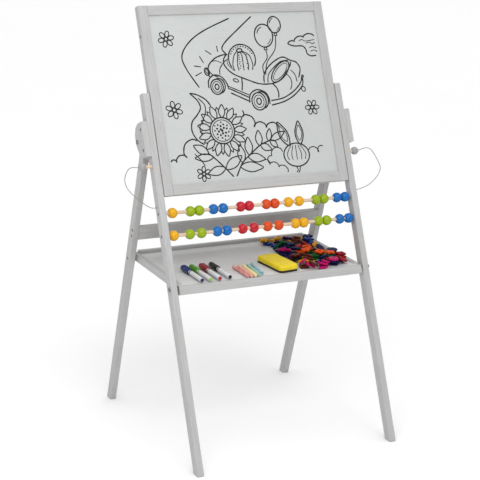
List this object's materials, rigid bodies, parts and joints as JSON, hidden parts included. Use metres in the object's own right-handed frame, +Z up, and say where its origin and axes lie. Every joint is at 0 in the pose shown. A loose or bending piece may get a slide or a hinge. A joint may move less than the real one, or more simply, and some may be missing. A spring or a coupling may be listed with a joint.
{
  "type": "kids easel",
  "caption": "Folding wooden children's easel with a turning whiteboard and chalkboard, abacus rods with sliding beads, a shallow tray and tethered lock pins.",
  "frame": {"origin": "on the floor, at the middle of the footprint", "axes": "+X to the right of a child at the whiteboard side, +Y to the back, +Z up"},
  "size_m": [0.6457, 0.57, 1.0063],
  "materials": {
    "painted_wood": "thin light grey satin paint, wood grain showing through",
    "natural_wood": "unpainted, fine sanded",
    "whiteboard": "smooth gloss writing film with drawn lines",
    "chalkboard": "matt, slightly rough",
    "steel": "dull zinc",
    "knob_paint": "grey satin paint",
    "cord": "thin pale grey cord of three twisted strands",
    "bead_yellow": "gloss lacquer",
    "bead_green": "gloss lacquer",
    "bead_blue": "gloss lacquer",
    "bead_red": "gloss lacquer",
    "bead_orange": "gloss lacquer",
    "ink": "dry marker ink, drawn lines",
    "marker_plastic": "moulded gloss",
    "cap_plastic": "moulded gloss, one colour on each marker",
    "chalk": "dry pastel chalk",
    "eraser_foam": "fine foam",
    "eraser_felt": "black felt",
    "magnet_plastic": "moulded gloss in bright colours"
  },
  "bodies": {
    "front_frame": {"front_leg_left": "painted_wood", "front_leg_right": "painted_wood", "hinge_plate_left": "painted_wood", "hinge_plate_right": "painted_wood", "frame_screws": "steel", "pivot_bolts": "steel", "abacus_rod_upper": "natural_wood", "abacus_rod_lower": "natural_wood", "tether_left": "cord", "tether_right": "cord"},
    "rear_frame": {"rear_leg_left": "painted_wood", "rear_leg_right": "painted_wood", "rear_crossbar": "painted_wood", "rear_leg_screws": "steel"},
    "board": {"board_stile_left": "painted_wood", "board_stile_right": "painted_wood", "board_rail_top": "painted_wood", "board_rail_bottom": "painted_wood", "whiteboard_panel": "whiteboard", "chalkboard_panel": "chalkboard", "board_pivots": "natural_wood"},
    "tray": {"tray_front_rail": "painted_wood", "tray_rear_rail": "painted_wood", "tray_side_left": "painted_wood", "tray_side_right": "painted_wood", "tray_floor": "painted_wood"},
    "left_lock_pin": {"lock_pin_left": "natural_wood", "lock_knob_left": "knob_paint"},
    "right_lock_pin": {"lock_pin_right": "natural_wood", "lock_knob_right": "knob_paint"},
    "bead_upper_01": {"bead_upper_01": "bead_yellow"},
    "bead_upper_02": {"bead_upper_02": "bead_green"},
    "bead_upper_03": {"bead_upper_03": "bead_green"},
    "bead_upper_04": {"bead_upper_04": "bead_blue"},
    "bead_upper_05": {"bead_upper_05": "bead_blue"},
    "bead_upper_06": {"bead_upper_06": "bead_red"},
    "bead_upper_07": {"bead_upper_07": "bead_red"},
    "bead_upper_08": {"bead_upper_08": "bead_orange"},
    "bead_upper_09": {"bead_upper_09": "bead_orange"},
    "bead_upper_10": {"bead_upper_10": "bead_yellow"},
    "bead_upper_11": {"bead_upper_11": "bead_yellow"},
    "bead_upper_12": {"bead_upper_12": "bead_green"},
    "bead_upper_13": {"bead_upper_13": "bead_green"},
    "bead_upper_14": {"bead_upper_14": "bead_blue"},
    "bead_upper_15": {"bead_upper_15": "bead_blue"},
    "bead_lower_01": {"bead_lower_01": "bead_yellow"},
    "bead_lower_02": {"bead_lower_02": "bead_green"},
    "bead_lower_03": {"bead_lower_03": "bead_green"},
    "bead_lower_04": {"bead_lower_04": "bead_blue"},
    "bead_lower_05": {"bead_lower_05": "bead_blue"},
    "bead_lower_06": {"bead_lower_06": "bead_red"},
    "bead_lower_07": {"bead_lower_07": "bead_red"},
    "bead_lower_08": {"bead_lower_08": "bead_orange"},
    "bead_lower_09": {"bead_lower_09": "bead_orange"},
    "bead_lower_10": {"bead_lower_10": "bead_yellow"},
    "bead_lower_11": {"bead_lower_11": "bead_yellow"},
    "bead_lower_12": {"bead_lower_12": "bead_green"},
    "bead_lower_13": {"bead_lower_13": "bead_green"},
    "bead_lower_14": {"bead_lower_14": "bead_blue"},
    "bead_lower_15": {"bead_lower_15": "bead_blue"}
  },
  "joints": [
    {"name": "board_flip", "type": "hinge", "parent": "front_frame", "child": "board", "pos_m": [0, 0.02647, 0.7959], "axis": [1, 0, 0], "continuous": true},
    {"name": "rear_fold", "type": "hinge", "parent": "front_frame", "child": "rear_frame", "pos_m": [0, 0.02409, 0.70374], "axis": [-1, 0, 0], "range_deg": [0, 40]},
    {"name": "tray_fold", "type": "hinge", "parent": "front_frame", "child": "tray", "pos_m": [0, -0.13056, 0.39237], "axis": [-1, 0, 0], "range_deg": [0, 113]},
    {"name": "lock_pin_left_slide", "type": "slide", "parent": "front_frame", "child": "left_lock_pin", "axis": [1, 0, 0], "range_m": [-0.008, 0.013], "deforming": ["tether_left"]},
    {"name": "lock_pin_right_slide", "type": "slide", "parent": "front_frame", "child": "right_lock_pin", "axis": [-1, 0, 0], "range_m": [-0.015, 0.006], "deforming": ["tether_right"]},
    {"name": "bead_upper_01_slide", "type": "slide", "parent": "front_frame", "child": "bead_upper_01", "axis": [1, 0, 0], "range_m": [-0.0077, 0.0237]},
    {"name": "bead_upper_02_slide", "type": "slide", "parent": "front_frame", "child": "bead_upper_02", "axis": [1, 0, 0], "range_m": [-0.0237, 0.0007]},
    {"name": "bead_upper_03_slide", "type": "slide", "parent": "front_frame", "child": "bead_upper_03", "axis": [1, 0, 0], "range_m": [-0.0007, 0.0147]},
    {"name": "bead_upper_04_slide", "type": "slide", "parent": "front_frame", "child": "bead_upper_04", "axis": [1, 0, 0], "range_m": [-0.0147, 0.0032]},
    {"name": "bead_upper_05_slide", "type": "slide", "parent": "front_frame", "child": "bead_upper_05", "axis": [1, 0, 0], "range_m": [-0.0032, 0.0237]},
    {"name": "bead_upper_06_slide", "type": "slide", "parent": "front_frame", "child": "bead_upper_06", "axis": [1, 0, 0], "range_m": [-0.0237, 0.0007]},
    {"name": "bead_upper_07_slide", "type": "slide", "parent": "front_frame", "child": "bead_upper_07", "axis": [1, 0, 0], "range_m": [-0.0007, 0.0237]},
    {"name": "bead_upper_08_slide", "type": "slide", "parent": "front_frame", "child": "bead_upper_08", "axis": [1, 0, 0], "range_m": [-0.0237, 0.0007]},
    {"name": "bead_upper_09_slide", "type": "slide", "parent": "front_frame", "child": "bead_upper_09", "axis": [1, 0, 0], "range_m": [-0.0007, 0.0147]},
    {"name": "bead_upper_10_slide", "type": "slide", "parent": "front_frame", "child": "bead_upper_10", "axis": [1, 0, 0], "range_m": [-0.0147, 0.0077]},
    {"name": "bead_upper_11_slide", "type": "slide", "parent": "front_frame", "child": "bead_upper_11", "axis": [1, 0, 0], "range_m": [-0.0077, 0.0237]},
    {"name": "bead_upper_12_slide", "type": "slide", "parent": "front_frame", "child": "bead_upper_12", "axis": [1, 0, 0], "range_m": [-0.0237, 0.0007]},
    {"name": "bead_upper_13_slide", "type": "slide", "parent": "front_frame", "child": "bead_upper_13", "axis": [1, 0, 0], "range_m": [-0.0007, 0.0147]},
    {"name": "bead_upper_14_slide", "type": "slide", "parent": "front_frame", "child": "bead_upper_14", "axis": [1, 0, 0], "range_m": [-0.0147, 0.0007]},
    {"name": "bead_upper_15_slide", "type": "slide", "parent": "front_frame", "child": "bead_upper_15", "axis": [1, 0, 0], "range_m": [-0.0007, 0.0022]},
    {"name": "bead_lower_01_slide", "type": "slide", "parent": "front_frame", "child": "bead_lower_01", "axis": [1, 0, 0], "range_m": [-0.0032, 0.0187]},
    {"name": "bead_lower_02_slide", "type": "slide", "parent": "front_frame", "child": "bead_lower_02", "axis": [1, 0, 0], "range_m": [-0.0187, 0.0077]},
    {"name": "bead_lower_03_slide", "type": "slide", "parent": "front_frame", "child": "bead_lower_03", "axis": [1, 0, 0], "range_m": [-0.0077, 0.0187]},
    {"name": "bead_lower_04_slide", "type": "slide", "parent": "front_frame", "child": "bead_lower_04", "axis": [1, 0, 0], "range_m": [-0.0187, 0.0032]},
    {"name": "bead_lower_05_slide", "type": "slide", "parent": "front_frame", "child": "bead_lower_05", "axis": [1, 0, 0], "range_m": [-0.0032, 0.0187]},
    {"name": "bead_lower_06_slide", "type": "slide", "parent": "front_frame", "child": "bead_lower_06", "axis": [1, 0, 0], "range_m": [-0.0187, 0.0077]},
    {"name": "bead_lower_07_slide", "type": "slide", "parent": "front_frame", "child": "bead_lower_07", "axis": [1, 0, 0], "range_m": [-0.0077, 0.0147]},
    {"name": "bead_lower_08_slide", "type": "slide", "parent": "front_frame", "child": "bead_lower_08", "axis": [1, 0, 0], "range_m": [-0.0147, 0.0077]},
    {"name": "bead_lower_09_slide", "type": "slide", "parent": "front_frame", "child": "bead_lower_09", "axis": [1, 0, 0], "range_m": [-0.0077, 0.0237]},
    {"name": "bead_lower_10_slide", "type": "slide", "parent": "front_frame", "child": "bead_lower_10", "axis": [1, 0, 0], "range_m": [-0.0237, 0.0007]},
    {"name": "bead_lower_11_slide", "type": "slide", "parent": "front_frame", "child": "bead_lower_11", "axis": [1, 0, 0], "range_m": [-0.0007, 0.0187]},
    {"name": "bead_lower_12_slide", "type": "slide", "parent": "front_frame", "child": "bead_lower_12", "axis": [1, 0, 0], "range_m": [-0.0187, 0.0007]},
    {"name": "bead_lower_13_slide", "type": "slide", "parent": "front_frame", "child": "bead_lower_13", "axis": [1, 0, 0], "range_m": [-0.0007, 0.0147]},
    {"name": "bead_lower_14_slide", "type": "slide", "parent": "front_frame", "child": "bead_lower_14", "axis": [1, 0, 0], "range_m": [-0.0147, 0.0032]},
    {"name": "bead_lower_15_slide", "type": "slide", "parent": "front_frame", "child": "bead_lower_15", "axis": [1, 0, 0], "range_m": [-0.0032, 0.0012]}
  ]
}
